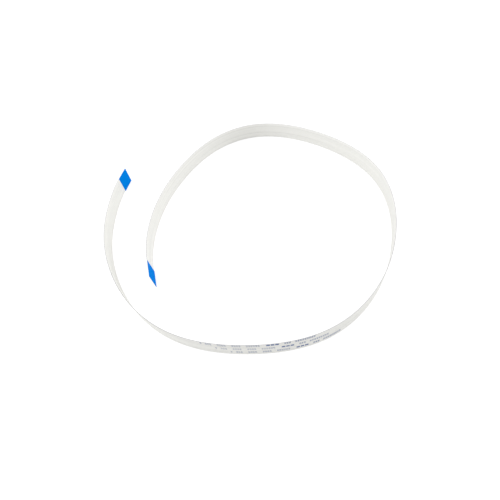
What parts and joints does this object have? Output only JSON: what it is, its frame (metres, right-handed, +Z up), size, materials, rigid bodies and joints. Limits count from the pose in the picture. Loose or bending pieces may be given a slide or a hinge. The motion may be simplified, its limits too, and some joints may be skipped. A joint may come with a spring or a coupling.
{
  "type": "flat flexible ribbon cable",
  "caption": "Long white flat flexible cable with blue stiffened ends and bare contacts, standing on its edge in one open loop.",
  "frame": {"origin": "middle of the loop, on the surface that the cable's long edge stands on", "axes": "+Z up across the cable's width; +X along the loop's longest extent, to the right as the picture shows it, with both ends at -X; +Y away from the picture's camera"},
  "size_m": [0.1712, 0.1682, 0.011],
  "materials": {
    "film": "satin polyester film, white",
    "stiffener": "satin polyester sheet, bright blue",
    "conductor": "bright tin plating on copper"
  },
  "bodies": {
    "root": {"inner_film": "film", "outer_film": "film", "stiffener_a": "stiffener", "stiffener_b": "stiffener", "conductor_01": "conductor", "conductor_02": "conductor", "conductor_03": "conductor", "conductor_04": "conductor", "conductor_05": "conductor", "conductor_06": "conductor", "conductor_07": "conductor", "conductor_08": "conductor", "conductor_09": "conductor", "conductor_10": "conductor"}
  },
  "joints": []
}
